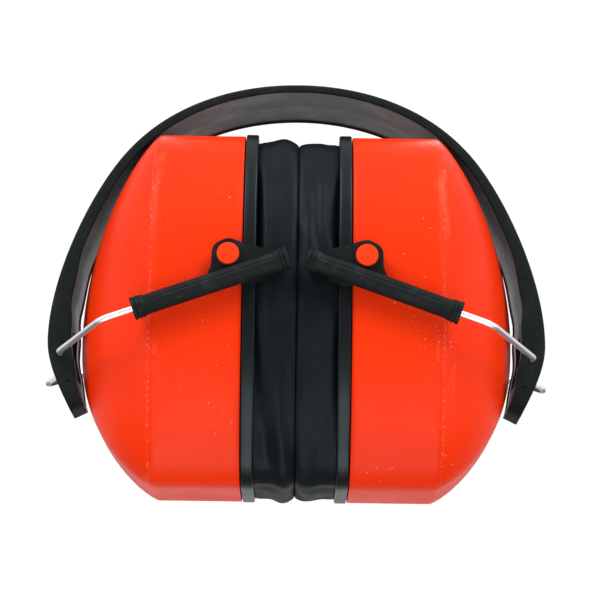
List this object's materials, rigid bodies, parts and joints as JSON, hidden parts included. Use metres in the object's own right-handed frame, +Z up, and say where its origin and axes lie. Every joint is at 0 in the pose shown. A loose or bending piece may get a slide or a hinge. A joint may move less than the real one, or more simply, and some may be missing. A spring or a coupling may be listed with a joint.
{
  "type": "hearing protection earmuffs",
  "caption": "Folding over-the-head hearing protectors with hard deep cups, soft ear cushions, sprung wire yokes and a moulded headband, folded up for storage.",
  "frame": {"origin": "middle of the folded muffs' footprint, on the surface they stand on", "axes": "+X towards the right cup, +Y to the rear, +Z up through the top of the headband"},
  "size_m": [0.1542, 0.096, 0.1256],
  "materials": {
    "band_plastic": "fine matt",
    "clip_plastic": "fine matt",
    "plate_plastic": "matt",
    "carrier_plastic": "gloss",
    "shell_plastic": "satin",
    "stud_plastic": "satin",
    "wire_steel": "drawn bright",
    "cushion_vinyl": "soft vinyl",
    "cushion_foam": "open-cell foam",
    "liner_foam": "open-cell foam"
  },
  "bodies": {
    "headband": {"headband": "band_plastic"},
    "yoke_left": {"yoke_wire_left": "wire_steel"},
    "clips_left": {"clip_front_left": "clip_plastic", "clip_rear_left": "clip_plastic"},
    "cup_left": {"cup_shell_left": "shell_plastic", "foam_liner_left": "liner_foam", "cushion_carrier_left": "carrier_plastic", "cushion_plate_left": "plate_plastic", "cushion_skin_left": "cushion_vinyl", "cushion_foam_left": "cushion_foam", "pivot_stud_front_left": "stud_plastic", "pivot_stud_rear_left": "stud_plastic"},
    "yoke_right": {"yoke_wire_right": "wire_steel"},
    "clips_right": {"clip_front_right": "clip_plastic", "clip_rear_right": "clip_plastic"},
    "cup_right": {"cup_shell_right": "shell_plastic", "foam_liner_right": "liner_foam", "cushion_carrier_right": "carrier_plastic", "cushion_plate_right": "plate_plastic", "cushion_skin_right": "cushion_vinyl", "cushion_foam_right": "cushion_foam", "pivot_stud_front_right": "stud_plastic", "pivot_stud_rear_right": "stud_plastic"}
  },
  "joints": [
    {"name": "fold_left", "type": "hinge", "parent": "headband", "child": "yoke_left", "pos_m": [-0.0712, 0, 0.0402], "axis": [0, 1, 0], "range_deg": [0, 106], "deforming": ["cushion_skin_left", "cushion_foam_left"]},
    {"name": "height_left", "type": "slide", "parent": "yoke_left", "child": "clips_left", "axis": [0.9426, 0, 0.3338], "range_m": [0, 0.02]},
    {"name": "tilt_left", "type": "hinge", "parent": "clips_left", "child": "cup_left", "pos_m": [-0.0204, 0, 0.0655], "axis": [0, 1, 0], "range_deg": [-106, 0]},
    {"name": "fold_right", "type": "hinge", "parent": "headband", "child": "yoke_right", "pos_m": [0.0712, 0, 0.0402], "axis": [0, -1, 0], "range_deg": [0, 106], "deforming": ["cushion_skin_right", "cushion_foam_right"]},
    {"name": "height_right", "type": "slide", "parent": "yoke_right", "child": "clips_right", "axis": [-0.9426, 0, 0.3338], "range_m": [0, 0.02]},
    {"name": "tilt_right", "type": "hinge", "parent": "clips_right", "child": "cup_right", "pos_m": [0.0204, 0, 0.0655], "axis": [0, -1, 0], "range_deg": [-106, 0]}
  ],
  "couplings": [
    {"joint": "height_left", "follows": "fold_left", "m_per_rad": 0.0108},
    {"joint": "tilt_left", "follows": "fold_left", "ratio": -1},
    {"joint": "height_right", "follows": "fold_right", "m_per_rad": 0.0108},
    {"joint": "tilt_right", "follows": "fold_right", "ratio": -1}
  ]
}
